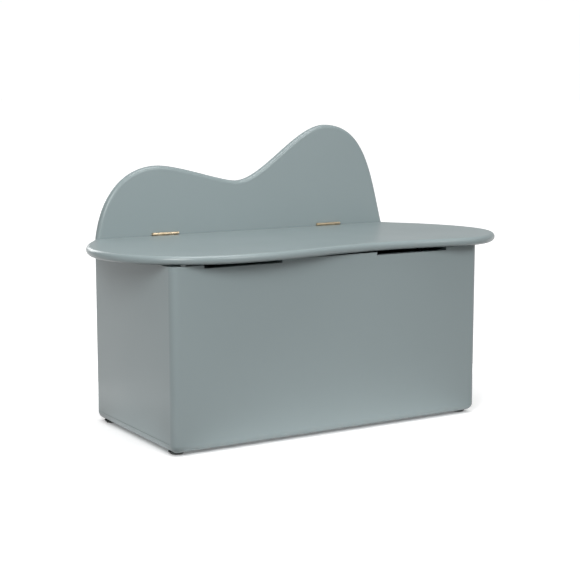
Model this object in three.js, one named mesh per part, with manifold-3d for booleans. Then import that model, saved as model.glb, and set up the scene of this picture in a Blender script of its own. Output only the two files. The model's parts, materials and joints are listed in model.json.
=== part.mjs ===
// A child's storage bench: a painted board box with a pebble-shaped lid to sit on, a wave-shaped backrest, two
// brass butt hinges and two telescopic stays that hold the lid up.
// Millimetres, +Z up, +X to the right as seen from the front, floor at z = 0. Inside this file X = 0 and Y = 0
// are the middle of the box. The exported group then moves, so that its origin is the middle of the whole
// object's footprint.
import * as THREE from "three";
import { mergeVertices } from "three/addons/utils/BufferGeometryUtils.js";
import Module from "manifold-3d";

const wasm = await Module();
wasm.setup();

// ---------- Driving dimensions ----------
const BOARD = 18; // thickness of every board
const BOX_WIDTH = 750;
const BOX_DEPTH = 374;
const UNDERSIDE = 6; // clearance under the box
const WALL_TOP = 376.5;
const LID_TOP = 398;
const BOX_ROUND = 16; // radius of the box's outer edges
const GAP = 0.3; // between pieces that touch
const LID_GAP = 1; // between the lid's rear edge and the backrest
const BULLNOSE = 8.9; // radius of the lid's and backrest's edges
const EASED = 0.5; // radius of an edge that another board meets
const CURVE_STEPS = 14; // straight pieces in each curve of an outline
const CORNER_STEPS = 6; // and in each quarter circle
const ARC_STEPS = 4; // and across each rounded edge
const EDGE_RINGS = 2 * ARC_STEPS + 1;
const SAME_POINT = 0.001;
const SLOT_FLOOR = 370; // bottom of the two finger slots in the front panel
const SLOTS = [
  [-303.5, -126.5],
  [105.5, 287.5],
];

const HALF_WIDTH = BOX_WIDTH / 2;
const HALF_DEPTH = BOX_DEPTH / 2;
const BACKREST_FACE = HALF_DEPTH - BOARD; // the front face of the back panel
const INNER_X = HALF_WIDTH - BOARD; // the side panels' inner faces
const FLOOR_TOP = UNDERSIDE + BOARD;
const LID_UNDERSIDE = LID_TOP - BOARD;
const LID_REAR = BACKREST_FACE - LID_GAP;

// The lid's plan, from its rear left corner round the front to its rear right corner. Each row is one curve:
// its two handles and its end point.
const LID_START = [-371, LID_REAR];
const LID_CURVES = [
  [-393, LID_REAR, -460, 64, -460, -16],
  [-460, -112, -387, -230, -211, -230],
  [-63, -230, -29, -196, 113, -196],
  [227, -196, 291, -220, 339, -220],
  [404, -220, 479, -145, 479, -63],
  [479, 63, 372, LID_REAR, 363, LID_REAR],
];
const LID_LEFT = -460;
const LID_RIGHT = 479;
const LID_FRONT = -230;

// The backrest's wave, seen from the front, from the box's top right corner over the two humps to its top left.
const WAVE_CURVES = [
  [341, 483, 333, 632, 206, 632],
  [130, 632, 40, 511, -30, 511],
  [-67, 511, -172, 550, -227, 550],
  [-261, 550, -361, 536, -HALF_WIDTH, WALL_TOP],
];
const WAVE_BLEND = 24; // height over which the box's edge turns into the backrest's

const HINGE_X = 212; // each hinge's middle, left and right of the box's middle
const HINGE_LENGTH = 64;
const KNUCKLES = 5;
const KNUCKLE_RADIUS = 3.1;
const PIN_RADIUS = 1.4;
const PIN_BORE = 1.7;
const AXIS_Y = BACKREST_FACE - 3.5;
const AXIS_Z = LID_TOP + 3.4;
const LEAF = 1.4; // leaf thickness
const LEAF_TOP = -3.5; // from the hinge axis
const LEAF_BOTTOM = -20.5;
const LEAF_SCREW_Z = -12.5;
const LEAF_SCREW_X = [-22, 0, 22];
const LEAF_HOLE_RADIUS = 1.7;
const COUNTERSINK_RADIUS = 3.2;
const FIXED_LEAF_Y = 1.8; // the fixed leaf's front face, behind the axis
const TAB_CLEARANCE = 0.15; // between a lid leaf's knuckle tabs and the pin's bore
const PIN_OVERHANG = 0.6; // of the pin past the knuckles, before its tapered tip
const PIN_TIP = 0.4;

// The three sizes of wood screw.
const HINGE_SCREW = { head: 2.6, shank: 1.3, length: 14 };
const BRACKET_SCREW = { head: 3, shank: 1.5, length: 13 };
const FOOT_SCREW = { head: 3.6, shank: 1.6, length: 14 };
const HOLE_REACH = 1; // of a drilled hole past the screw that it takes
const SCREW_SIDES = 10;
const HOLE_SIDES = 12;

const FOOT_TOP_RADIUS = 17;
const FOOT_RADIUS = 13;
const FOOT_X = HALF_WIDTH - 23;
const FOOT_Y = HALF_DEPTH - 33;
const FOOT_SEAT = 3.2; // height at which the foot's screw head sits, in a recess
const FOOT_RECESS_RADIUS = 4.4;
const FOOT_BORE = 1.9;
const FOOT_EDGE = 1; // chamfer where the foot meets the floor
const FOOT_RIM = 0.8; // upright rim at the top of the foot

const BUMPER_RADIUS = 5;
const BUMPER_X = HALF_WIDTH - 30;
const DOWEL_RADIUS = 4;
const DOWEL_LENGTH = 34;
const DOWEL_HEIGHTS = [95, 290];
const DOWEL_SHIFT = 6; // of a dowel's middle from the joint into the side panel
const DOWEL_CHAMFER = 1;

// The stays: the side pivot and the lid pivot are equally far from the hinge axis, so the line through them
// turns exactly half as far as the lid, and the rod stays in line with its cylinder at every angle of the lid.
const STAY_REACH = 200;
const LID_PIVOT_DROP = 35.4; // below the hinge axis
const SIDE_PIVOT_Y = 150;
const STAY_X = 346;
const EYE_RADIUS = 8;
const EYE_WIDTH = 8;
const STUD_RADIUS = 3;
const STUD_SHOULDER = 1.5; // the stud's base and head are this much wider
const STUD_HEAD = 1.8; // from the eye to the end of the stud's head
const TUBE_RADIUS = 7.5;
const TUBE_BORE = 6;
const TUBE_START = 18; // from the side pivot
const TUBE_MOUTH = 222; // from the side pivot
const TUBE_BASE = 8; // thickness of the tube's closed end
const TUBE_CHAMFER = 1.5;
const GUIDE = 6; // length of the rod's guide in the tube's mouth
const NECK_RADIUS = 3.6; // of the stem from the tube to its eye
const NECK_START = EYE_RADIUS - 2;
const ROD_RADIUS = 3.5;
const ROD_LENGTH = 192; // from the lid pivot
const PISTON_RADIUS = 5.6;
const PISTON_LENGTH = 10;
const COLLAR = 1; // the rod is this much thicker next to its eye
const COLLAR_LENGTH = 8;
const BRACKET = 2; // plate thickness
const PLATE_HALF_WIDTH = 11;
const PLATE_HALF_HEIGHT = 22;
const EAR_DROP = 9; // of the lid bracket's ear below its pivot
const FLANGE_LENGTH = 28;
const FLANGE_HALF_WIDTH = 18;
const RUNNING = 0.35; // clearance of an eye on its stud and a rod in its guide

// ---------- Materials ----------
const paint = (name) => {
  const material = new THREE.MeshStandardMaterial({ color: 0x8b9a9c, roughness: 0.42, metalness: 0 });
  material.name = name;
  return material;
};
const metal = (name, color, roughness) => {
  const material = new THREE.MeshStandardMaterial({ color, roughness, metalness: 1 });
  material.name = name;
  return material;
};
const MATERIALS = {
  paint: () => paint("grey_green_paint"),
  brass: () => metal("brass", 0xc8a86a, 0.3),
  steel: () => metal("zinc_plated_steel", 0xb4b6b8, 0.35),
  tube: () => metal("painted_steel", 0x2c2e30, 0.4),
  foot: () => new THREE.MeshStandardMaterial({ color: 0x3a3d3c, roughness: 0.6, metalness: 0 }),
  bumper: () => new THREE.MeshStandardMaterial({ color: 0xdfe2e0, roughness: 0.35, metalness: 0 }),
  beech: () => new THREE.MeshStandardMaterial({ color: 0xc9a577, roughness: 0.7, metalness: 0 }),
};

// ---------- Solids: joining and cutting ----------
function solid(geometry) {
  const bare = geometry.clone();
  bare.deleteAttribute("normal");
  bare.deleteAttribute("uv");
  const merged = mergeVertices(bare, 1e-4);
  const vertProperties = new Float32Array(merged.getAttribute("position").array);
  const triVerts = new Uint32Array(merged.getIndex().array);
  return new wasm.Manifold(new wasm.Mesh({ numProp: 3, vertProperties, triVerts }));
}

function geometryOf(manifold) {
  const mesh = manifold.getMesh();
  const geometry = new THREE.BufferGeometry();
  geometry.setAttribute("position", new THREE.BufferAttribute(new Float32Array(mesh.vertProperties), 3));
  geometry.setIndex(new THREE.BufferAttribute(new Uint32Array(mesh.triVerts), 1));
  geometry.computeVertexNormals();
  return geometry;
}

function join(...geometries) {
  return geometryOf(geometries.map(solid).reduce((whole, piece) => whole.add(piece)));
}

function cut(geometry, ...tools) {
  return geometryOf(tools.map(solid).reduce((rest, tool) => rest.subtract(tool), solid(geometry)));
}

// ---------- Basic shapes ----------
// A block between two corners.
function block(x0, x1, y0, y1, z0, z1) {
  const geometry = new THREE.BoxGeometry(x1 - x0, y1 - y0, z1 - z0);
  return geometry.translate((x0 + x1) / 2, (y0 + y1) / 2, (z0 + z1) / 2);
}

// A turned piece: profile rows are [radius, height], and its axis runs from the origin along `direction`.
function turned(profile, direction, sides = 20) {
  const points = profile.map(([radius, height]) => new THREE.Vector2(radius, height));
  const geometry = new THREE.LatheGeometry(points, sides);
  const turn = new THREE.Quaternion().setFromUnitVectors(new THREE.Vector3(0, 1, 0), direction);
  return geometry.applyQuaternion(turn);
}

function rod(radius, from, to, direction, sides = 20) {
  const profile = [
    [0, from],
    [radius, from],
    [radius, to],
    [0, to],
  ];
  return turned(profile, direction, sides);
}

const ALONG_X = new THREE.Vector3(1, 0, 0);
const ALONG_Y = new THREE.Vector3(0, 1, 0);
const ALONG_Z = new THREE.Vector3(0, 0, 1);
const FORWARD = new THREE.Vector3(0, -1, 0);

// The points along a run of Bezier curves.
function curvePoints(start, curves) {
  const path = new THREE.Path().moveTo(...start);
  for (const curve of curves) {
    path.bezierCurveTo(...curve);
  }
  return path.getPoints(CURVE_STEPS);
}

// For each point of an outline, the move that shifts both of the lines that meet there inward by 1.
function inwardMoves(points) {
  return points.map((point, i) => {
    const before = point.clone().sub(points.at(i - 1)).normalize();
    const after = points[(i + 1) % points.length].clone().sub(point).normalize();
    const along = before.clone().add(after).normalize();
    const inward = new THREE.Vector2(-along.y, along.x);
    return inward.divideScalar(along.dot(after));
  });
}

// How far in and how high one ring of a rounded edge is: rings 0 to ARC_STEPS round the low face's edge, and
// the rest round the high face's edge.
function edgeRing(ring, low, high) {
  const isLow = ring <= ARC_STEPS;
  const step = isLow ? ring : EDGE_RINGS - ring;
  const angle = (step / ARC_STEPS) * (Math.PI / 2);
  const radius = isLow ? low : high;
  const rise = radius * (1 - Math.cos(angle));
  return { inset: radius * (1 - Math.sin(angle)), height: isLow ? rise : BOARD - rise };
}

// A board cut to an outline, with its edges rounded over. radii(point) gives the radius of the low face's edge
// and of the high face's edge at a point of the outline, so they may change along it.
function roundedBoard(points, radii) {
  const moves = inwardMoves(points);
  const options = { depth: BOARD, steps: EDGE_RINGS, bevelEnabled: false };
  const geometry = new THREE.ExtrudeGeometry(new THREE.Shape(points), options);
  const position = geometry.getAttribute("position");
  for (let i = 0; i < position.count; i += 1) {
    const here = new THREE.Vector2(position.getX(i), position.getY(i));
    const at = points.findIndex((point) => point.distanceTo(here) < SAME_POINT);
    const ring = Math.round((position.getZ(i) / BOARD) * EDGE_RINGS);
    const { inset, height } = edgeRing(ring, ...radii(points[at]));
    const { x, y } = moves[at].clone().multiplyScalar(inset).add(points[at]);
    position.setXYZ(i, x, y, height);
  }
  return geometry;
}

// Stands a board up: its outline's second axis becomes Z, and its low face is at y = rear.
function standUp(geometry, rear) {
  return geometry.rotateX(Math.PI / 2).translate(0, rear, 0);
}

// ---------- Assembly helpers ----------
const bench = new THREE.Group();

function add(name, geometry, material) {
  const mesh = new THREE.Mesh(geometry, MATERIALS[material]());
  mesh.name = name;
  bench.add(mesh);
  return mesh;
}

const SIDES = [
  ["left", -1],
  ["right", 1],
];
const smooth = THREE.MathUtils.smoothstep;
const mix = THREE.MathUtils.lerp;

// ---------- Holes that screws, dowels and hinges need in the boards ----------
// A hole for a screw whose head is at the origin and whose point is along `direction`.
function screwHole({ shank, length }, direction) {
  return rod(shank + GAP, -HOLE_REACH, length + HOLE_REACH, direction, HOLE_SIDES);
}

function leafScrewHoles(direction, y) {
  const holes = [];
  for (const [, side] of SIDES) {
    for (const offset of LEAF_SCREW_X) {
      const hole = screwHole(HINGE_SCREW, direction);
      holes.push(hole.translate(side * HINGE_X + offset, y, AXIS_Z + LEAF_SCREW_Z));
    }
  }
  return holes;
}

function dowelHoles(x, y) {
  const half = DOWEL_LENGTH / 2 + GAP;
  return DOWEL_HEIGHTS.map((z) => rod(DOWEL_RADIUS + GAP, -half, half, ALONG_Y, HOLE_SIDES).translate(x, y, z));
}

const REAR_DOWEL_Y = BACKREST_FACE - DOWEL_SHIFT;
const FRONT_DOWEL_Y = -REAR_DOWEL_Y;
const DOWEL_X = HALF_WIDTH - BOARD / 2;

// ---------- The box ----------
// One rounded lower corner of the box's outline, seen from the front.
function lowerCorner(side, from, to) {
  const x = side * (HALF_WIDTH - BOX_ROUND);
  const curve = new THREE.EllipseCurve(x, UNDERSIDE + BOX_ROUND, BOX_ROUND, BOX_ROUND, from, to);
  return curve.getPoints(CORNER_STEPS);
}

function lowerCorners() {
  return [...lowerCorner(-1, Math.PI, 1.5 * Math.PI), ...lowerCorner(1, -Math.PI / 2, 0)];
}

function withTop(top) {
  return [...lowerCorners(), new THREE.Vector2(HALF_WIDTH, top), new THREE.Vector2(-HALF_WIDTH, top)];
}

function frontPanel() {
  const overshoot = 2 * BOX_ROUND; // the rounded top edge is made higher up, then cut off square
  const board = roundedBoard(withTop(WALL_TOP + overshoot), () => [EASED, BOX_ROUND - EASED]);
  const standing = standUp(board, -BACKREST_FACE);
  const trim = block(-BOX_WIDTH, BOX_WIDTH, -BOX_DEPTH, 0, WALL_TOP, WALL_TOP + 2 * overshoot);
  const slots = SLOTS.map(([x0, x1]) => block(x0, x1, -BOX_DEPTH, 0, SLOT_FLOOR, WALL_TOP + 1));
  const holes = SIDES.flatMap(([, side]) => dowelHoles(side * DOWEL_X, FRONT_DOWEL_Y));
  return cut(standing, trim, ...slots, ...holes);
}

function backPanel() {
  const wave = curvePoints([HALF_WIDTH, WALL_TOP], WAVE_CURVES);
  const radii = (point) => {
    const blend = smooth(point.y, WALL_TOP, WALL_TOP + WAVE_BLEND);
    return [mix(BOX_ROUND - EASED, BULLNOSE, blend), mix(EASED, BULLNOSE, blend)];
  };
  const standing = standUp(roundedBoard([...lowerCorners(), ...wave], radii), HALF_DEPTH);
  const holes = SIDES.flatMap(([, side]) => dowelHoles(side * DOWEL_X, REAR_DOWEL_Y));
  return cut(standing, ...holes, ...leafScrewHoles(ALONG_Y, AXIS_Y + FIXED_LEAF_Y));
}

function sidePanel(side) {
  const inner = side * INNER_X;
  const outer = side * HALF_WIDTH;
  const length = BACKREST_FACE - GAP;
  const x0 = Math.min(inner, outer);
  const x1 = Math.max(inner, outer);
  const panel = block(x0, x1, -length, length, FLOOR_TOP + GAP, WALL_TOP);
  const dowels = [FRONT_DOWEL_Y, REAR_DOWEL_Y].flatMap((y) => dowelHoles(side * DOWEL_X, y));
  const screws = BRACKET_SCREW_Z.map((offset) => {
    const hole = screwHole(BRACKET_SCREW, new THREE.Vector3(side, 0, 0));
    return hole.translate(side * SIDE_SCREW_HEAD, SIDE_PIVOT.y, SIDE_PIVOT.z + offset);
  });
  return cut(panel, ...dowels, ...screws);
}

function bottomPanel() {
  const length = 2 * (BACKREST_FACE - GAP);
  const outline = new THREE.Shape(withTop(FLOOR_TOP));
  const panel = new THREE.ExtrudeGeometry(outline, { depth: length, bevelEnabled: false });
  const holes = FEET.map(([, x, y]) => screwHole(FOOT_SCREW, ALONG_Z).translate(x, y, FOOT_SCREW_HEAD));
  return cut(standUp(panel, length / 2), ...holes);
}

// ---------- The lid ----------
function seatLid() {
  const outline = curvePoints(LID_START, LID_CURVES);
  const radii = (point) => {
    const edge = mix(BULLNOSE, EASED, smooth(point.y, LID_REAR - BOARD, LID_REAR));
    return [edge, edge];
  };
  const board = roundedBoard(outline, radii).translate(0, 0, LID_UNDERSIDE);
  const half = HINGE_LENGTH / 2 + GAP;
  const pocketFront = AXIS_Y - LEAF - GAP;
  const pockets = SIDES.map(([, side]) => {
    const x = side * HINGE_X;
    return block(x - half, x + half, pocketFront, LID_REAR + 1, LID_UNDERSIDE - 1, LID_TOP + 1);
  });
  const bracketHoles = SIDES.flatMap(([, side]) =>
    FLANGE_SCREW_Y.map((offset) => {
      const hole = screwHole(BRACKET_SCREW, ALONG_Z);
      return hole.translate(side * FLANGE_SCREW_X, LID_PIVOT.y + offset, FLANGE_SCREW_HEAD);
    }),
  );
  return cut(board, ...pockets, ...leafScrewHoles(FORWARD, AXIS_Y), ...bracketHoles);
}

// ---------- Screws ----------
// A countersunk wood screw, head at the origin, point along `direction`.
function countersunkScrew({ head, shank, length }, direction) {
  const recess = head * 0.35;
  const profile = [
    [0, recess],
    [recess, 0],
    [head, 0],
    [shank, head - shank],
    [shank, length - 2 * shank],
    [0, length],
  ];
  return turned(profile, direction, SCREW_SIDES);
}

// A pan-head wood screw whose head stands on the surface at the origin.
function panScrew({ head, shank, length }, direction) {
  const headHeight = head * 0.55;
  const profile = [
    [0, -headHeight],
    [head * 0.7, -headHeight],
    [head, -headHeight * 0.4],
    [head, 0],
    [shank, 0],
    [shank, length - 2 * shank],
    [0, length],
  ];
  return turned(profile, direction, SCREW_SIDES);
}

// ---------- Hinges ----------
// All hinge shapes are made around the hinge axis, which runs along X.
function knuckle(number) {
  const pitch = HINGE_LENGTH / KNUCKLES;
  const x0 = -HINGE_LENGTH / 2 + number * pitch + GAP / 2;
  const x1 = x0 + pitch - GAP;
  const profile = [
    [PIN_BORE, x0],
    [KNUCKLE_RADIUS, x0],
    [KNUCKLE_RADIUS, x1],
    [PIN_BORE, x1],
    [PIN_BORE, x0],
  ];
  return { ring: turned(profile, ALONG_X, 16), x0, x1 };
}

function leaf(front, numbers, tabTop, screwDirection, face) {
  const half = HINGE_LENGTH / 2 - GAP;
  const plate = block(-half, half, front, front + LEAF, LEAF_BOTTOM, LEAF_TOP);
  const knuckles = numbers.map(knuckle);
  const rings = knuckles.map(({ ring }) => ring);
  const tabs = knuckles.map(({ x0, x1 }) => block(x0, x1, front, front + LEAF, LEAF_TOP - 1, tabTop));
  const holes = LEAF_SCREW_X.map((x) => {
    const profile = [
      [0, -HOLE_REACH],
      [COUNTERSINK_RADIUS, -HOLE_REACH],
      [COUNTERSINK_RADIUS, 0],
      [LEAF_HOLE_RADIUS, LEAF],
      [LEAF_HOLE_RADIUS, LEAF + HOLE_REACH],
      [0, LEAF + HOLE_REACH],
    ];
    return turned(profile, screwDirection, 16).translate(x, face, LEAF_SCREW_Z);
  });
  return cut(join(plate, ...rings, ...tabs), ...holes);
}

function hingePin() {
  const end = HINGE_LENGTH / 2 + PIN_OVERHANG;
  const profile = [
    [0, -end - PIN_TIP],
    [PIN_RADIUS, -end],
    [PIN_RADIUS, end],
    [0, end + PIN_TIP],
  ];
  return turned(profile, ALONG_X);
}

function addHinge(name, x) {
  const fixed = leaf(FIXED_LEAF_Y, [0, 2, 4], 0, ALONG_Y, FIXED_LEAF_Y);
  const moving = leaf(-LEAF, [1, 3], -PIN_BORE - TAB_CLEARANCE, FORWARD, 0);
  add(name + "_hinge_fixed_leaf", fixed, "brass").position.set(x, AXIS_Y, AXIS_Z);
  add(name + "_hinge_lid_leaf", moving, "brass").position.set(x, AXIS_Y, AXIS_Z);
  add(name + "_hinge_pin", hingePin(), "brass").position.set(x, AXIS_Y, AXIS_Z);
  LEAF_SCREW_X.forEach((offset, i) => {
    const z = AXIS_Z + LEAF_SCREW_Z;
    const number = i + 1;
    const intoBack = add(name + "_hinge_back_screw_" + number, countersunkScrew(HINGE_SCREW, ALONG_Y), "brass");
    intoBack.position.set(x + offset, AXIS_Y + FIXED_LEAF_Y, z);
    const intoLid = add(name + "_hinge_lid_screw_" + number, countersunkScrew(HINGE_SCREW, FORWARD), "brass");
    intoLid.position.set(x + offset, AXIS_Y, z);
  });
}

// ---------- Feet, bumpers and dowels ----------
const FEET = [
  ["front_left", -FOOT_X, -FOOT_Y],
  ["front_right", FOOT_X, -FOOT_Y],
  ["rear_left", -FOOT_X, FOOT_Y],
  ["rear_right", FOOT_X, FOOT_Y],
];

function foot() {
  const top = UNDERSIDE - GAP;
  const profile = [
    [FOOT_BORE, FOOT_SEAT],
    [FOOT_RECESS_RADIUS, FOOT_SEAT],
    [FOOT_RECESS_RADIUS, 0],
    [FOOT_RADIUS - FOOT_EDGE, 0],
    [FOOT_RADIUS, FOOT_EDGE],
    [FOOT_TOP_RADIUS, top - FOOT_RIM],
    [FOOT_TOP_RADIUS, top],
    [FOOT_BORE, top],
    [FOOT_BORE, FOOT_SEAT],
  ];
  return turned(profile, ALONG_Z);
}

function bumper() {
  const low = WALL_TOP + GAP;
  const high = LID_UNDERSIDE - GAP;
  const profile = [
    [0, low],
    [BUMPER_RADIUS, low],
    [BUMPER_RADIUS, mix(low, high, 0.5)],
    [BUMPER_RADIUS * 0.75, high],
    [0, high],
  ];
  return turned(profile, ALONG_Z);
}

function dowel() {
  const half = DOWEL_LENGTH / 2;
  const profile = [
    [0, -half],
    [DOWEL_RADIUS - DOWEL_CHAMFER, -half],
    [DOWEL_RADIUS, DOWEL_CHAMFER - half],
    [DOWEL_RADIUS, half - DOWEL_CHAMFER],
    [DOWEL_RADIUS - DOWEL_CHAMFER, half],
    [0, half],
  ];
  return turned(profile, ALONG_Y, HOLE_SIDES);
}

// ---------- Stays ----------
// Both pivots lie STAY_REACH from the hinge axis, in the plane x = STAY_X.
function pivotAt(y, z) {
  return new THREE.Vector3(0, y, z);
}
const LID_PIVOT = pivotAt(AXIS_Y - Math.sqrt(STAY_REACH ** 2 - LID_PIVOT_DROP ** 2), AXIS_Z - LID_PIVOT_DROP);
const SIDE_PIVOT = pivotAt(SIDE_PIVOT_Y, AXIS_Z - Math.sqrt(STAY_REACH ** 2 - (AXIS_Y - SIDE_PIVOT_Y) ** 2));
const STAY_DIRECTION = LID_PIVOT.clone().sub(SIDE_PIVOT).normalize();

const PLATE_OUTER = INNER_X - GAP; // the side bracket's outer face
const PLATE_INNER = PLATE_OUTER - BRACKET;
const BRACKET_SCREW_Z = [-14, 14];
const EAR_OUTER = PLATE_INNER - GAP;
const EAR_INNER = EAR_OUTER - BRACKET;
const FLANGE_TOP = LID_UNDERSIDE - GAP;
const FLANGE_BOTTOM = FLANGE_TOP - BRACKET;
const FLANGE_SCREW_X = EAR_INNER - 18;
const FLANGE_SCREW_Y = [-10, 10];
const SIDE_SCREW_HEAD = PLATE_INNER - GAP;
const FLANGE_SCREW_HEAD = FLANGE_BOTTOM - GAP;
const FOOT_SCREW_HEAD = FOOT_SEAT - GAP;

function eye() {
  const half = EYE_WIDTH / 2;
  const bore = STUD_RADIUS + RUNNING;
  const profile = [
    [bore, -half],
    [EYE_RADIUS, -half],
    [EYE_RADIUS, half],
    [bore, half],
    [bore, -half],
  ];
  return turned(profile, ALONG_X);
}

function stayCylinder() {
  const profile = [
    [0, TUBE_START + TUBE_BASE],
    [TUBE_BORE, TUBE_START + TUBE_BASE],
    [TUBE_BORE, TUBE_MOUTH - GUIDE],
    [ROD_RADIUS + RUNNING, TUBE_MOUTH - GUIDE],
    [ROD_RADIUS + RUNNING, TUBE_MOUTH],
    [TUBE_RADIUS - TUBE_CHAMFER, TUBE_MOUTH],
    [TUBE_RADIUS, TUBE_MOUTH - TUBE_CHAMFER],
    [TUBE_RADIUS, TUBE_START + TUBE_CHAMFER],
    [TUBE_RADIUS - TUBE_CHAMFER, TUBE_START],
    [0, TUBE_START],
  ];
  const neck = rod(NECK_RADIUS, NECK_START, TUBE_START + 1, STAY_DIRECTION, 16);
  return join(turned(profile.reverse(), STAY_DIRECTION), neck, eye());
}

function stayRod() {
  const towardsCylinder = STAY_DIRECTION.clone().negate();
  const profile = [
    [0, NECK_START],
    [ROD_RADIUS + COLLAR, NECK_START],
    [ROD_RADIUS + COLLAR, EYE_RADIUS + COLLAR_LENGTH],
    [ROD_RADIUS, EYE_RADIUS + COLLAR_LENGTH + COLLAR],
    [ROD_RADIUS, ROD_LENGTH - PISTON_LENGTH],
    [PISTON_RADIUS, ROD_LENGTH - PISTON_LENGTH],
    [PISTON_RADIUS, ROD_LENGTH],
    [0, ROD_LENGTH],
  ];
  return join(turned(profile, towardsCylinder), eye());
}

// The stud that an eye turns on: it starts inside the plate and ends in a wider head past the eye.
function stud(plateFace, side) {
  const inward = new THREE.Vector3(-side, 0, 0);
  const from = -plateFace - 1;
  const wide = STUD_RADIUS + STUD_SHOULDER;
  const eyeStart = -STAY_X - EYE_WIDTH / 2;
  const eyeEnd = eyeStart + EYE_WIDTH;
  const profile = [
    [0, from],
    [wide, from],
    [wide, eyeStart - GAP],
    [STUD_RADIUS, eyeStart - GAP],
    [STUD_RADIUS, eyeEnd + GAP],
    [wide, eyeEnd + GAP],
    [wide, eyeEnd + STUD_HEAD],
    [0, eyeEnd + STUD_HEAD],
  ];
  return turned(profile, inward);
}

function sideBracket(side) {
  const x0 = Math.min(side * PLATE_OUTER, side * PLATE_INNER);
  const plate = block(
    x0, x0 + BRACKET, -PLATE_HALF_WIDTH, PLATE_HALF_WIDTH, -PLATE_HALF_HEIGHT, PLATE_HALF_HEIGHT,
  );
  const through = rod(BRACKET_SCREW.shank + GAP, -BOX_WIDTH, BOX_WIDTH, ALONG_X, HOLE_SIDES);
  const holes = BRACKET_SCREW_Z.map((z) => through.clone().translate(0, 0, z));
  return join(cut(plate, ...holes), stud(PLATE_INNER, side));
}

function lidBracket(side) {
  const ear0 = Math.min(side * EAR_OUTER, side * EAR_INNER);
  const flangeEnd = side * (EAR_OUTER - FLANGE_LENGTH);
  const flange0 = Math.min(side * EAR_OUTER, flangeEnd);
  const top = FLANGE_TOP - LID_PIVOT.z;
  const low = FLANGE_BOTTOM - LID_PIVOT.z;
  const ear = block(ear0, ear0 + BRACKET, -PLATE_HALF_WIDTH, PLATE_HALF_WIDTH, -EAR_DROP, top);
  const flange = block(flange0, flange0 + FLANGE_LENGTH, -FLANGE_HALF_WIDTH, FLANGE_HALF_WIDTH, low, top);
  const through = rod(BRACKET_SCREW.shank + GAP, low - HOLE_REACH, top + HOLE_REACH, ALONG_Z, HOLE_SIDES);
  const holes = FLANGE_SCREW_Y.map((y) => through.clone().translate(side * FLANGE_SCREW_X, y, 0));
  return join(cut(join(ear, flange), ...holes), stud(EAR_INNER, side));
}

function addStay(name, side) {
  const { y: sideY, z: sideZ } = SIDE_PIVOT;
  const { y: lidY, z: lidZ } = LID_PIVOT;
  add(name + "_stay_cylinder", stayCylinder(), "tube").position.set(side * STAY_X, sideY, sideZ);
  add(name + "_stay_rod", stayRod(), "steel").position.set(side * STAY_X, lidY, lidZ);
  add(name + "_stay_side_bracket", sideBracket(side), "steel").position.set(0, sideY, sideZ);
  add(name + "_stay_lid_bracket", lidBracket(side), "steel").position.set(0, lidY, lidZ);
  const outward = new THREE.Vector3(side, 0, 0);
  BRACKET_SCREW_Z.forEach((offset, i) => {
    const screw = add(name + "_stay_side_screw_" + (i + 1), panScrew(BRACKET_SCREW, outward), "steel");
    screw.position.set(side * SIDE_SCREW_HEAD, sideY, sideZ + offset);
  });
  FLANGE_SCREW_Y.forEach((offset, i) => {
    const screw = add(name + "_stay_lid_screw_" + (i + 1), panScrew(BRACKET_SCREW, ALONG_Z), "steel");
    screw.position.set(side * FLANGE_SCREW_X, lidY + offset, FLANGE_SCREW_HEAD);
  });
}

// ---------- The whole bench ----------
add("front_panel", frontPanel(), "paint");
add("back_panel", backPanel(), "paint");
add("bottom_panel", bottomPanel(), "paint");
add("seat_lid", seatLid(), "paint");

for (const [name, side] of SIDES) {
  add(name + "_side_panel", sidePanel(side), "paint");
  add(name + "_bumper", bumper(), "bumper").position.set(side * BUMPER_X, BOARD / 2 - HALF_DEPTH, 0);
  for (const [end, y] of [
    ["front", FRONT_DOWEL_Y],
    ["rear", REAR_DOWEL_Y],
  ]) {
    DOWEL_HEIGHTS.forEach((z, i) => {
      const mesh = add([end, name, "dowel", i + 1].join("_"), dowel(), "beech");
      mesh.position.set(side * DOWEL_X, y, z);
    });
  }
  addHinge(name, side * HINGE_X);
  addStay(name, side);
}

for (const [name, x, y] of FEET) {
  add(name + "_foot", foot(), "foot").position.set(x, y, 0);
  add(name + "_foot_screw", panScrew(FOOT_SCREW, ALONG_Z), "steel").position.set(x, y, FOOT_SCREW_HEAD);
}

// The origin: on the floor, in the middle of the footprint.
bench.position.set(-(LID_LEFT + LID_RIGHT) / 2, -(LID_FRONT + HALF_DEPTH) / 2, 0);

export default bench;
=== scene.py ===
"""A child's storage bench in painted board: a box with a pebble-shaped lid to sit on and a wave-shaped
backrest.

The boards are rebuilt here with smooth edges and closed joints, as filled and sprayed furniture has. The
screws of the hinges and stays are rebuilt with their recesses. The rest of the hardware is the CAD's, with
softened edges.
"""
import json
import math

import bmesh
import bpy
from mathutils import Matrix, Vector

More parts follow.
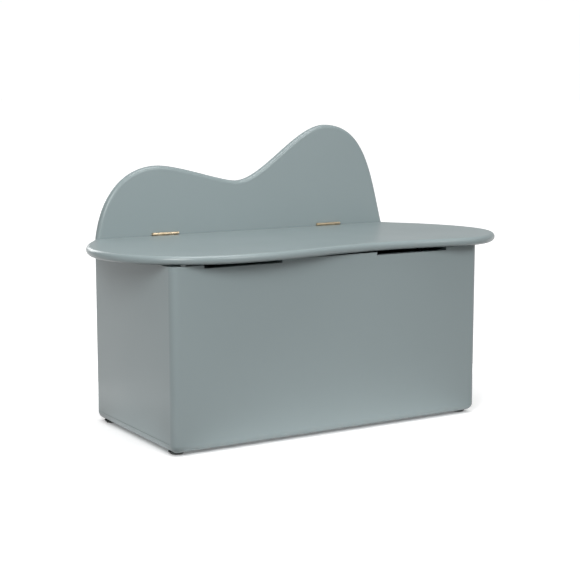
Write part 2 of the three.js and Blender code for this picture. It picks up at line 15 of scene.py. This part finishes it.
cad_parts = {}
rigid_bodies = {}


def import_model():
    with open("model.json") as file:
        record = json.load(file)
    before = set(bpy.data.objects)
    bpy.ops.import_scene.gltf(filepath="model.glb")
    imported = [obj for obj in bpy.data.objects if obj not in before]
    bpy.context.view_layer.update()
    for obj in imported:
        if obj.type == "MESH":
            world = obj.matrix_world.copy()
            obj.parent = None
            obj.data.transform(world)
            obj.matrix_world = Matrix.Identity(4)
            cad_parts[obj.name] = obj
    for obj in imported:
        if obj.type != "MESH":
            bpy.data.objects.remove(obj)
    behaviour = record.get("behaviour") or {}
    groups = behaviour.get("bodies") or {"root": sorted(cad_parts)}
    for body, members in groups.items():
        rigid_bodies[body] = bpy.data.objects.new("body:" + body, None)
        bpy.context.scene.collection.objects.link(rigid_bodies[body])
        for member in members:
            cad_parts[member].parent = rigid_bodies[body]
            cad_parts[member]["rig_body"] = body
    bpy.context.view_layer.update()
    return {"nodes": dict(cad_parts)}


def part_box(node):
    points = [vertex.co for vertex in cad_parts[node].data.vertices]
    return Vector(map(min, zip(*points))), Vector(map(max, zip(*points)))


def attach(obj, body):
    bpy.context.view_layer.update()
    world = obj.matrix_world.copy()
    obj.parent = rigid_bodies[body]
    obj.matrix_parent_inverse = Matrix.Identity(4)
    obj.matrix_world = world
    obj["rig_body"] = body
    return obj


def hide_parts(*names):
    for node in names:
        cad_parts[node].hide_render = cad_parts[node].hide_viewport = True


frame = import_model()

MM = 0.001

# ---------- Driving sizes, in millimetres ----------
BOARD = 18
BOX_ROUND = 16  # the box's lower corners, seen from the front
FACE_ROUND = BOX_ROUND - 0.2  # the edges of its front and rear faces, kept inside those corners
BULLNOSE = 8.9  # the edges of the lid and backrest, just under half a board
EASED = 0.8  # edges that are only just rounded
INNER_EDGE = 0.1  # edges of the boards between the front and back
BLEND_HEIGHT = 24  # over which the box's edge turns into the backrest's
NOTCH_GAP = 0.5  # between a hinge and each end of its notch in the lid
NOTCH_DEPTH = 4.2
EDGE_STEPS = 10  # rings across a quarter round
CURVE_STEPS = 40  # points along each curve of an outline

front_low, front_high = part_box("front_panel")
back_low, back_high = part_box("back_panel")
lid_low, lid_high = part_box("seat_lid")
side_low, side_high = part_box("left_side_panel")
bottom_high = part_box("bottom_panel")[1]

# The middle of the box, which the outlines below are drawn about.
MIDDLE = Vector(((back_low.x + back_high.x) / 2, (front_low.y + back_high.y) / 2, 0))
HALF_WIDTH = (back_high.x - back_low.x) / 2 / MM
HALF_DEPTH = (back_high.y - front_low.y) / 2 / MM
UNDERSIDE = front_low.z / MM
WALL_TOP = front_high.z / MM
LID_REAR = (lid_high.y - MIDDLE.y) / MM
INNER_REACH = HALF_DEPTH - BOARD + EASED / 2  # of the boards that run into the front and back

SLOTS = [(-303.5, -126.5), (105.5, 287.5)]  # the ends of the two finger slots
SLOT_FLOOR = 370

# The lid's outline from above. Each row holds a curve's two handles and its end.
LID_LEFT = -460
LID_RIGHT = 479
LEFT_BULGE = -230
WAIST = -196
RIGHT_BULGE = -220
LID_START = (-371, LID_REAR)
LID_CURVES = [
    (-393, LID_REAR, LID_LEFT, 64, LID_LEFT, -16),
    (LID_LEFT, -112, -387, LEFT_BULGE, -211, LEFT_BULGE),
    (-63, LEFT_BULGE, -29, WAIST, 113, WAIST),
    (227, WAIST, 291, RIGHT_BULGE, 339, RIGHT_BULGE),
    (404, RIGHT_BULGE, LID_RIGHT, -145, LID_RIGHT, -63),
    (LID_RIGHT, 63, 372, LID_REAR, 363, LID_REAR),
]

# The backrest's outline from the front, from the right end to the left.
HIGH_CREST = 632
VALLEY = 511
LOW_CREST = 550
WAVE_CURVES = [
    (341, 483, 333, HIGH_CREST, 206, HIGH_CREST),
    (130, HIGH_CREST, 40, VALLEY, -30, VALLEY),
    (-67, VALLEY, -172, LOW_CREST, -227, LOW_CREST),
    (-261, LOW_CREST, -361, 536, -HALF_WIDTH, WALL_TOP),
]


# ---------- Camera ----------
def add_camera():
    azimuth = math.radians(31.42)
    elevation = math.radians(8.36)
    aim = Vector((0.0039, 0.0342, 0.2786))
    distance = 3.05
    level = math.cos(elevation)
    forward = Vector((math.sin(azimuth) * level, math.cos(azimuth) * level, -math.sin(elevation)))
    data = bpy.data.cameras.new("camera")
    data.sensor_width = 36
    data.lens = 86.38
    camera = bpy.data.objects.new("camera", data)
    camera.location = aim - forward * distance
    camera.rotation_euler = forward.to_track_quat("-Z", "Y").to_euler()
    bpy.context.scene.collection.objects.link(camera)
    bpy.context.scene.camera = camera


# ---------- Materials ----------
class Nodes:
    """Short names for building a material's node tree."""

    def __init__(self, name):
        self.material = bpy.data.materials.new(name)
        self.material.use_nodes = True
        self.tree = self.material.node_tree
        self.shader = self.tree.nodes["Principled BSDF"]
        self.place = self.add("ShaderNodeTexCoord").outputs["Object"]

    def add(self, kind, **settings):
        node = self.tree.nodes.new(kind)
        for key, value in settings.items():
            setattr(node, key, value)
        return node

    def link(self, source, target):
        self.tree.links.new(source, target)

    def stretched(self, scale):
        mapping = self.add("ShaderNodeMapping")
        mapping.inputs["Scale"].default_value = scale
        self.link(self.place, mapping.inputs["Vector"])
        return mapping.outputs["Vector"]

    def noise(self, scale, detail=2.0, place=None):
        """Noise with so many waves to the metre."""
        node = self.add("ShaderNodeTexNoise")
        node.inputs["Scale"].default_value = scale
        node.inputs["Detail"].default_value = detail
        self.link(place or self.place, node.inputs["Vector"])
        return node.outputs["Fac"]

    def spread(self, value, low, high, start=0.3, end=0.7):
        """Maps start..end of a value to low..high."""
        node = self.add("ShaderNodeMapRange")
        node.inputs["From Min"].default_value = start
        node.inputs["From Max"].default_value = end
        node.inputs["To Min"].default_value = low
        node.inputs["To Max"].default_value = high
        self.link(value, node.inputs["Value"])
        return node.outputs["Result"]

    def mixed(self, factor, first, second):
        """Inputs 6 and 7 and output 2 are the mix node's colour sockets."""
        node = self.add("ShaderNodeMix", data_type="RGBA")
        self.link(factor, node.inputs["Factor"])
        for socket, colour in ((node.inputs[6], first), (node.inputs[7], second)):
            if isinstance(colour, tuple):
                socket.default_value = (*colour, 1)
            else:
                self.link(colour, socket)
        return node.outputs[2]

    def bump(self, height, distance, normal=None):
        """Bumps of a depth in metres, on top of any that there are."""
        node = self.add("ShaderNodeBump")
        node.inputs["Distance"].default_value = distance
        self.link(height, node.inputs["Height"])
        if normal:
            self.link(normal, node.inputs["Normal"])
        return node.outputs["Normal"]

    def finish(self, colour, roughness, normal, metallic=0.0, specular=0.5):
        self.link(colour, self.shader.inputs["Base Color"])
        self.link(roughness, self.shader.inputs["Roughness"])
        self.link(normal, self.shader.inputs["Normal"])
        self.shader.inputs["Metallic"].default_value = metallic
        self.shader.inputs["Specular IOR Level"].default_value = specular
        return self.material


def paint_material():
    """Sprayed satin paint on board: faint orange peel, a slow unevenness and a gloss that varies a little."""
    n = Nodes("satin_paint")
    tone = n.spread(n.noise(5, 1), 0, 1, 0.2, 0.8)
    colour = n.mixed(tone, (0.208, 0.254, 0.260), (0.212, 0.258, 0.264))
    roughness = n.spread(n.noise(7, 1), 0.30, 0.35, 0.2, 0.8)
    peel = n.bump(n.noise(420, 1), 0.00002)
    normal = n.bump(n.noise(6, 1), 0.0002, peel)
    return n.finish(colour, roughness, normal)


def brass_material():
    n = Nodes("polished_brass")
    grain = n.noise(260, 3, n.stretched((0.12, 1, 1)))
    colour = n.mixed(n.spread(n.noise(60, 3), 0, 1), (0.68, 0.56, 0.40), (0.54, 0.42, 0.27))
    return n.finish(colour, n.spread(grain, 0.30, 0.42), n.bump(grain, 0.00001), metallic=1.0)


def steel_material():
    n = Nodes("zinc_plated_steel")
    grain = n.noise(300, 4)
    colour = n.mixed(n.spread(n.noise(45, 3), 0, 1), (0.60, 0.61, 0.63), (0.50, 0.51, 0.54))
    return n.finish(colour, n.spread(grain, 0.24, 0.42), n.bump(grain, 0.00001), metallic=1.0)


def tube_material():
    n = Nodes("black_enamel")
    colour = n.mixed(n.spread(n.noise(30, 3), 0, 1), (0.012, 0.013, 0.014), (0.022, 0.023, 0.025))
    return n.finish(colour, n.spread(n.noise(40, 4), 0.26, 0.40), n.bump(n.noise(900, 2), 0.00002))


def rubber_material():
    n = Nodes("foot_rubber")
    colour = n.mixed(n.spread(n.noise(80, 4), 0, 1), (0.035, 0.040, 0.038), (0.055, 0.060, 0.057))
    return n.finish(colour, n.spread(n.noise(120, 4), 0.55, 0.75), n.bump(n.noise(1500, 3), 0.00005))


def bumper_material():
    n = Nodes("milky_plastic")
    colour = n.mixed(n.spread(n.noise(200, 2), 0, 1), (0.70, 0.73, 0.72), (0.76, 0.78, 0.77))
    return n.finish(colour, n.spread(n.noise(150, 3), 0.25, 0.38), n.bump(n.noise(700, 2), 0.00002))


def beech_material():
    n = Nodes("bare_beech")
    along = n.stretched((1, 0.08, 1))
    colour = n.mixed(n.spread(n.noise(500, 5, along), 0, 1), (0.60, 0.40, 0.21), (0.45, 0.28, 0.13))
    gloss = n.spread(n.noise(300, 3, along), 0.6, 0.8)
    return n.finish(colour, gloss, n.bump(n.noise(700, 4, along), 0.00005))


PAINT = paint_material()
BRASS = brass_material()
STEEL = steel_material()
ENAMEL = tube_material()
RUBBER = rubber_material()
MILKY = bumper_material()
BEECH = beech_material()


# ---------- Pieces ----------
SHARP_ANGLE = 35  # in degrees, between the faces at an edge that is softened
BEVEL_STEPS = 3


def piece(name, mesh, material, node, slot):
    """An object that stands for a CAD node and moves with that node's body."""
    made = bpy.data.objects.new(name, mesh)
    bpy.context.scene.collection.objects.link(made)
    mesh.materials.clear()
    mesh.materials.append(material)
    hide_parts(node)
    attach(made, frame["nodes"][node]["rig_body"])
    return made


def soften(made, width):
    """Rounds the sharp edges and keeps flat faces flat."""
    bevel = made.modifiers.new("softened_edges", "BEVEL")
    bevel.width = width * MM
    bevel.segments = BEVEL_STEPS
    bevel.limit_method = "ANGLE"
    bevel.angle_limit = math.radians(SHARP_ANGLE)
    bevel.harden_normals = True
    flat = made.modifiers.new("flat_faces", "WEIGHTED_NORMAL")
    flat.keep_sharp = True


def smooth_mesh(name, vertices, faces):
    mesh = bpy.data.meshes.new(name)
    mesh.from_pydata(vertices, [], faces)
    made = bmesh.new()
    made.from_mesh(mesh)
    bmesh.ops.recalc_face_normals(made, faces=made.faces)
    made.to_mesh(mesh)
    made.free()
    mesh.polygons.foreach_set("use_smooth", [True] * len(mesh.polygons))
    return mesh


def curve_points(start, curves):
    """Points along a run of cubic curves, each given by its two handles and its end."""
    points = [Vector(start)]
    for x1, y1, x2, y2, x3, y3 in curves:
        first = points[-1].copy()
        handles = Vector((x1, y1)), Vector((x2, y2)), Vector((x3, y3))
        for step in range(1, CURVE_STEPS + 1):
            t = step / CURVE_STEPS
            s = 1 - t
            start_part = first * s ** 3 + handles[0] * 3 * s * s * t
            points.append(start_part + handles[1] * 3 * s * t * t + handles[2] * t ** 3)
    return points


def lower_corners():
    """The two rounded lower corners of the box's outline, seen from the front."""
    points = []
    for side, start in ((-1, math.pi), (1, 1.5 * math.pi)):
        for step in range(EDGE_STEPS + 1):
            angle = start + step / EDGE_STEPS * math.pi / 2
            points.append(Vector((side * (HALF_WIDTH - BOX_ROUND) + BOX_ROUND * math.cos(angle),
                                  UNDERSIDE + BOX_ROUND + BOX_ROUND * math.sin(angle))))
    return points


def with_top(top):
    """The box's outline, seen from the front, with square upper corners at a height."""
    return [*lower_corners(), Vector((HALF_WIDTH, top)), Vector((-HALF_WIDTH, top))]


def inward_move(points, i):
    """The move that shifts both of the outline's lines that meet at a point inward by 1."""
    before = (points[i] - points[i - 1]).normalized()
    after = (points[(i + 1) % len(points)] - points[i]).normalized()
    along = (before + after).normalized()
    return Vector((-along.y, along.x)) / along.dot(after)


def board_mesh(name, points, thickness, radii, place):
    """A board with rounded edges. radii(point) gives the radii of its low and high edges, and place puts
    (u, v, height) in the model."""
    count = len(points)
    moves = [inward_move(points, i) for i in range(count)]
    edges = [radii(point) for point in points]
    vertices = []
    for is_high in (False, True):
        for ring in range(EDGE_STEPS + 1):
            step = EDGE_STEPS - ring if is_high else ring
            angle = step / EDGE_STEPS * math.pi / 2
            for point, move, edge in zip(points, moves, edges):
                radius = edge[is_high]
                rise = radius * (1 - math.cos(angle))
                u, v = point + move * radius * (1 - math.sin(angle))
                vertices.append(place(u, v, thickness - rise if is_high else rise))
    faces = [list(range(count))[::-1]]
    last = (2 * EDGE_STEPS + 1) * count
    for ring in range(0, last, count):
        for i in range(count):
            j = (i + 1) % count
            faces.append([ring + i, ring + j, ring + count + j, ring + count + i])
    faces.append([last + i for i in range(count)])
    return smooth_mesh(name, vertices, faces)


def box_mesh(name, low, high):
    """A block between two corners."""
    made = bmesh.new()
    place = Matrix.Translation((low + high) / 2) @ Matrix.Diagonal((*(high - low), 1))
    bmesh.ops.create_cube(made, size=1, matrix=place)
    mesh = bpy.data.meshes.new(name)
    made.to_mesh(mesh)
    made.free()
    return mesh


def carved(mesh, low, high):
    """A mesh with a block between two corners cut away."""
    body = bpy.data.objects.new("body", mesh)
    cutter = bpy.data.objects.new("cutter", box_mesh("cutter", low, high))
    for made in (body, cutter):
        bpy.context.scene.collection.objects.link(made)
    cut = body.modifiers.new("cut", "BOOLEAN")
    cut.object = cutter
    cut.solver = "EXACT"
    bpy.context.view_layer.update()
    graph = bpy.context.evaluated_depsgraph_get()
    result = bpy.data.meshes.new_from_object(body.evaluated_get(graph))
    result.name = mesh.name
    for made in (body, cutter):
        bpy.data.objects.remove(made)
    return result


def at(x, y, z):
    """A place in the model from millimetres about the middle of the box."""
    return MIDDLE + Vector((x, y, z)) * MM


# ---------- The boards ----------
def add_front_panel():
    """The board is made too tall and cut off, so that the box's large round doesn't run along its top."""
    overshoot = 2 * BOX_ROUND
    rear = -HALF_DEPTH + BOARD
    outline = with_top(WALL_TOP + overshoot)
    mesh = board_mesh("front", outline, BOARD, lambda point: (EASED / 2, FACE_ROUND),
                      lambda u, v, h: at(u, rear - h, v))
    mesh = carved(mesh, at(-2 * HALF_WIDTH, -2 * HALF_DEPTH, WALL_TOP), at(2 * HALF_WIDTH, 0, 2 * WALL_TOP))
    for left, right in SLOTS:
        mesh = carved(mesh, at(left, -2 * HALF_DEPTH, SLOT_FLOOR), at(right, 0, 2 * WALL_TOP))
    soften(piece("painted_front", mesh, PAINT, "front_panel", "painted_board"), EASED)


def add_back_panel():
    def radii(point):
        blend = min(max((point.y - WALL_TOP) / BLEND_HEIGHT, 0), 1)
        blend = blend * blend * (3 - 2 * blend)
        rear_edge = FACE_ROUND * (1 - blend) + BULLNOSE * blend
        front_edge = EASED / 2 * (1 - blend) + BULLNOSE * blend
        return rear_edge, front_edge

    outline = [*lower_corners(), *curve_points((HALF_WIDTH, WALL_TOP), WAVE_CURVES)]
    mesh = board_mesh("back", outline, BOARD, radii, lambda u, v, h: at(u, HALF_DEPTH - h, v))
    made = piece("painted_back", mesh, PAINT, "back_panel", "painted_board")
    made.modifiers.new("flat_faces", "WEIGHTED_NORMAL")


def add_side_panels():
    """The sides run into the front, back and bottom boards, which closes the joints. A faint line still shows
    where they meet the bottom board."""
    reach = INNER_REACH
    top = side_high.z / MM
    low = side_low.z / MM - EASED
    for name, left in (("left", -HALF_WIDTH), ("right", HALF_WIDTH - BOARD)):
        outline = [Vector(corner) for corner in ((-reach, low), (reach, low), (reach, top), (-reach, top))]
        mesh = board_mesh(name + "_side", outline, BOARD, lambda point: (INNER_EDGE, INNER_EDGE),
                          lambda u, v, h: at(left + h, u, v))
        piece(f"painted_{name}_side", mesh, PAINT, name + "_side_panel", "painted_board")


def add_bottom_panel():
    outline = with_top(bottom_high.z / MM)
    mesh = board_mesh("bottom", outline, 2 * INNER_REACH, lambda point: (INNER_EDGE, INNER_EDGE),
                      lambda u, v, h: at(u, INNER_REACH - h, v))
    piece("painted_bottom", mesh, PAINT, "bottom_panel", "painted_board")


def add_lid():
    underside = lid_low.z / MM

    def radii(point):
        blend = min(max((point.y - LID_REAR + BOARD) / BOARD, 0), 1)
        edge = BULLNOSE * (1 - blend) + EASED * blend
        return edge, edge

    mesh = board_mesh("lid", curve_points(LID_START, LID_CURVES), BOARD, radii,
                      lambda u, v, h: at(u, v, underside + h))
    for name in ("left", "right"):
        low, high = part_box(name + "_hinge_fixed_leaf")
        gap = NOTCH_GAP * MM
        notch_low = Vector((low.x - gap, lid_high.y - NOTCH_DEPTH * MM, lid_low.z - BOARD * MM))
        notch_high = Vector((high.x + gap, lid_high.y + BOARD * MM, lid_high.z + BOARD * MM))
        mesh = carved(mesh, notch_low, notch_high)
    made = piece("painted_lid", mesh, PAINT, "seat_lid", "painted_board")
    made.modifiers.new("flat_faces", "WEIGHTED_NORMAL")


# ---------- Hardware ----------
SOFT_EDGE = 0.3  # in millimetres, as all lengths here
FINE_EDGE = 0.2
SCREW_EDGE = 0.05
WELD_REACH = 0.01
SCREW_SIDES = 40
TIP_RADIUS = 0.05
PAN_HEAD = 3  # the radius of a stay's screw heads
SUNK_HEAD = 2.6  # and of a hinge's

# The heads' profiles, in rows of a part of the head's radius and a depth below its top.
PAN_PROFILE = [(0.35, 0), (0.7, 0.12), (0.9, 0.5), (1, 1.2), (1, 1.65), (0.5, 1.66)]
SUNK_PROFILE = [(0.9, 0), (1, 0.1), (0.5, 1.4)]

# The cross recess, in parts of the head's radius.
RECESS_REACH = 0.6
RECESS_WIDTH = 0.1  # half the width of its arms
RECESS_DEPTH = 0.35


def dress(name, material, width):
    """A CAD node as it is, with its own material and softened edges."""
    node = frame["nodes"][name]
    node.data.materials.clear()
    node.data.materials.append(material)
    node.data.polygons.foreach_set("use_smooth", [True] * len(node.data.polygons))
    if "custom_normal" in node.data.attributes:
        node.data.attributes.remove(node.data.attributes["custom_normal"])
    weld = node.modifiers.new("joined_faces", "WELD")
    weld.merge_threshold = WELD_REACH * MM
    soften(node, width)


def lathe_mesh(name, top, forward, sideways, profile):
    """A turned piece from rows of (radius, distance along forward), in millimetres."""
    up = forward.cross(sideways)
    turns = [2 * math.pi * i / SCREW_SIDES for i in range(SCREW_SIDES)]
    vertices = [top + (forward * along + (sideways * math.cos(turn) + up * math.sin(turn)) * radius) * MM
                for radius, along in profile for turn in turns]
    faces = [list(range(SCREW_SIDES))[::-1]]
    last = (len(profile) - 1) * SCREW_SIDES
    for ring in range(0, last, SCREW_SIDES):
        for i in range(SCREW_SIDES):
            j = (i + 1) % SCREW_SIDES
            faces.append([ring + i, ring + j, ring + SCREW_SIDES + j, ring + SCREW_SIDES + i])
    faces.append([last + i for i in range(SCREW_SIDES)])
    return smooth_mesh(name, vertices, faces)


def screw_mesh(name, node, direction, head, head_profile):
    """A wood screw along a CAD screw's own axis, with a cross recess. direction points from its head to its
    tip, and head is its head's radius."""
    low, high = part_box(node)
    forward = Vector(direction)
    sideways = Vector((forward.z, forward.x, forward.y))
    length = abs((high - low).dot(forward)) / MM
    top = (low + high) / 2 - forward * length / 2 * MM
    shank = head / 2
    rows = [(head * part, depth) for part, depth in head_profile]
    rows += [(shank, length - 2 * shank), (TIP_RADIUS, length)]
    mesh = lathe_mesh(name, top, forward, sideways, rows)
    above = top - forward * MM
    deepest = top + forward * head * RECESS_DEPTH * MM
    middle = (above + deepest) / 2
    for wide in (sideways, forward.cross(sideways)):
        arm = wide * RECESS_REACH + forward.cross(wide) * RECESS_WIDTH
        reach = Vector(abs(value) for value in arm * head * MM + (deepest - above) / 2)
        mesh = carved(mesh, middle - reach, middle + reach)
    return mesh


def add_screws():
    """The screws that show when the lid is open, with the recesses that a driver turns."""
    for name in frame["nodes"]:
        outward = -1 if name.startswith("left") else 1
        if "_stay_side_screw_" in name:
            direction = (outward, 0, 0)
        elif "_stay_lid_screw_" in name:
            direction = (0, 0, 1)
        elif "_hinge_lid_screw_" in name:
            direction = (0, -1, 0)
        elif "_hinge_back_screw_" in name:
            direction = (0, 1, 0)
        else:
            continue
        if "hinge" in name:
            head, profile, metal, slot = SUNK_HEAD, SUNK_PROFILE, BRASS, "hinge_brass"
        else:
            head, profile, metal, slot = PAN_HEAD, PAN_PROFILE, STEEL, "zinc_steel"
        mesh = screw_mesh("turned_" + name, name, direction, head, profile)
        soften(piece("turned_" + name, mesh, metal, name, slot), SCREW_EDGE)


def dress_hardware():
    """All the hardware that isn't rebuilt."""
    for name in frame["nodes"]:
        if "_screw_" in name:
            continue
        if "dowel" in name:
            dress(name, BEECH, SOFT_EDGE)
        elif "hinge" in name:
            dress(name, BRASS, FINE_EDGE)
        elif name.endswith("_stay_cylinder"):
            dress(name, ENAMEL, SOFT_EDGE)
        elif "stay" in name or name.endswith("_foot_screw"):
            dress(name, STEEL, FINE_EDGE)
        elif name.endswith("_foot"):
            dress(name, RUBBER, SOFT_EDGE)
        elif name.endswith("_bumper"):
            dress(name, MILKY, SOFT_EDGE)


# ---------- Studio, in metres ----------
FOOT_FLOOR = (0.47, 0.27)  # half the width and depth of the ovals that the floor is made of
NEAR_FLOOR = (0.80, 0.60)
FAR_FLOOR = (60, 60)
OVAL_SIDES = 96
FOOT_GLOW = 0.38
FLOOR_GLOW = 0.9
GLOW_START = 0.66  # where the glow starts to rise, as a part of the way out to the near floor's rim
CONTACT = 0.010  # the glow fades, as a painted contact shadow, from half of this outside the box's footprint to all of it inside
CONTACT_LEVEL = 0.35  # to this part of what it is outside, which paints the shadow under the box
LIGHT_AIM = Vector((0, 0, 0.25))

# Rows of a height, from straight down (-1) through the horizon (0) to straight up (1), and a brightness.
WORLD_LEVELS = (
    (-0.06, 0.03),
    (-0.03, 1.01),
    (0.07, 1.01),
    (0.10, 0.42),
    (0.7, 0.40),
    (1.0, 1.00),
)


def add_light(name, direction, distance, size, power):
    data = bpy.data.lights.new(name, "AREA")
    data.shape = "RECTANGLE"
    data.size, data.size_y = size
    data.energy = power
    light = bpy.data.objects.new(name, data)
    towards = Vector(direction).normalized()
    light.location = LIGHT_AIM + towards * distance
    light.rotation_euler = towards.to_track_quat("Z", "Y").to_euler()
    light.visible_camera = False
    bpy.context.scene.collection.objects.link(light)


def add_world():
    """A pale studio: dark below the horizon, white round it, greyer walls above and a bright ceiling."""
    world = bpy.data.worlds.new("studio")
    world.use_nodes = True
    bpy.context.scene.world = world
    nodes, links = world.node_tree.nodes, world.node_tree.links
    height = nodes.new("ShaderNodeSeparateXYZ")
    links.new(nodes.new("ShaderNodeTexCoord").outputs["Generated"], height.inputs[0])
    upward = nodes.new("ShaderNodeMapRange")
    upward.inputs["From Min"].default_value = -1
    links.new(height.outputs["Z"], upward.inputs["Value"])
    ramp = nodes.new("ShaderNodeValToRGB")
    links.new(upward.outputs["Result"], ramp.inputs["Fac"])
    stops = ramp.color_ramp.elements
    while len(stops) < len(WORLD_LEVELS):
        stops.new(1)
    for stop, (z, level) in zip(stops, WORLD_LEVELS):
        stop.position = (z + 1) / 2
        stop.color = (level, level, level, 1)
    links.new(ramp.outputs["Color"], nodes["Background"].inputs["Color"])


def oval(made, across, deep):
    """The corners of an oval on the ground."""
    angles = (2 * math.pi * i / OVAL_SIDES for i in range(OVAL_SIDES))
    return [made.verts.new((across * math.cos(angle), deep * math.sin(angle), 0)) for angle in angles]


def floor_part(name, material, outer, inner=None):
    """A flat oval, or the ring between two ovals."""
    made = bmesh.new()
    rim = oval(made, *outer)
    if inner:
        hole = oval(made, *inner)
        for i in range(len(rim)):
            made.faces.new((hole[i], hole[i - 1], rim[i - 1], rim[i]))
    else:
        made.faces.new(rim)
    bmesh.ops.recalc_face_normals(made, faces=made.faces)
    mesh = bpy.data.meshes.new(name)
    made.to_mesh(mesh)
    made.free()
    mesh.materials.append(material)
    floor = bpy.data.objects.new(name, mesh)
    bpy.context.scene.collection.objects.link(floor)
    return floor


def floor_material(name, albedo):
    n = Nodes(name)
    colour = n.mixed(n.spread(n.noise(3, 3), 0, 1), (albedo - 0.01,) * 3, (albedo + 0.01,) * 3)
    n.shader.inputs["Emission Color"].default_value = (1, 1, 1, 1)
    n.shader.inputs["Emission Strength"].default_value = FLOOR_GLOW
    n.finish(colour, n.spread(n.noise(5, 3), 0.6, 0.7), n.bump(n.noise(40, 2), 0.0002), specular=0.2)
    return n


def from_box(n):
    """How far a place on the floor is outside the box's footprint, negative under it."""
    centred = n.add("ShaderNodeVectorMath", operation="SUBTRACT")
    centred.inputs[1].default_value = MIDDLE
    n.link(n.place, centred.inputs[0])
    mirrored = n.add("ShaderNodeVectorMath", operation="ABSOLUTE")
    n.link(centred.outputs["Vector"], mirrored.inputs[0])
    past = n.add("ShaderNodeVectorMath", operation="SUBTRACT")
    past.inputs[1].default_value = Vector((HALF_WIDTH, HALF_DEPTH, 0)) * MM
    n.link(mirrored.outputs["Vector"], past.inputs[0])
    axes = n.add("ShaderNodeSeparateXYZ")
    n.link(past.outputs["Vector"], axes.inputs[0])
    furthest = n.add("ShaderNodeMath", operation="MAXIMUM")
    n.link(axes.outputs["X"], furthest.inputs[0])
    n.link(axes.outputs["Y"], furthest.inputs[1])
    return furthest.outputs["Value"]


def add_floor():
    """A pale floor that glows. Its glow is dimmer round the bench, so that the bench casts a shadow there,
    and is lowest under it as a painted contact shadow. Only the part at the bench's foot throws light back on
    the bench."""
    across, deep = NEAR_FLOOR
    near = floor_material("near_floor", 0.8)
    outward = near.add("ShaderNodeVectorMath", operation="LENGTH")
    near.link(near.stretched((1 / across, 1 / deep, 0)), outward.inputs[0])
    open_glow = near.spread(outward.outputs["Value"], FOOT_GLOW, FLOOR_GLOW, GLOW_START, 1)
    open_glow.node.interpolation_type = "SMOOTHSTEP"
    # Painted contact shadow: the glow drops to CONTACT_LEVEL under the box's footprint.
    painted_contact_shade = near.spread(from_box(near), CONTACT_LEVEL, 1, -CONTACT, CONTACT / 2)
    glow = near.add("ShaderNodeMath", operation="MULTIPLY")
    near.link(open_glow, glow.inputs[0])
    near.link(painted_contact_shade, glow.inputs[1])
    near.link(glow.outputs["Value"], near.shader.inputs["Emission Strength"])
    far = floor_material("far_floor", 0.4)
    floor_part("floor_at_foot", near.material, FOOT_FLOOR)
    for ring in (floor_part("floor_near", near.material, NEAR_FLOOR, FOOT_FLOOR),
                 floor_part("floor_far", far.material, FAR_FLOOR, NEAR_FLOOR)):
        ring.visible_diffuse = False


add_camera()
add_world()
add_floor()
# Each light's direction, distance, size and power in watts.
add_light("key", (-1, -1, 0.82), 2.6, (0.9, 1.0), 35)
add_light("overhead", (0, -0.35, 1.95), 1.98, (1.2, 0.6), 17)
add_light("front_fill", (0.25, -1, 0.64), 2.8, (1.2, 0.9), 24)
add_light("side_fill", (-1, 0.1, 0.15), 2.8, (0.9, 0.5), 2)
add_light("rear_fill", (-0.15, 1, 0.4), 2.8, (1.0, 1.0), 15)

add_front_panel()
add_back_panel()
add_side_panels()
add_bottom_panel()
add_lid()
add_screws()
dress_hardware()

bpy.context.scene.view_settings.view_transform = "Standard"
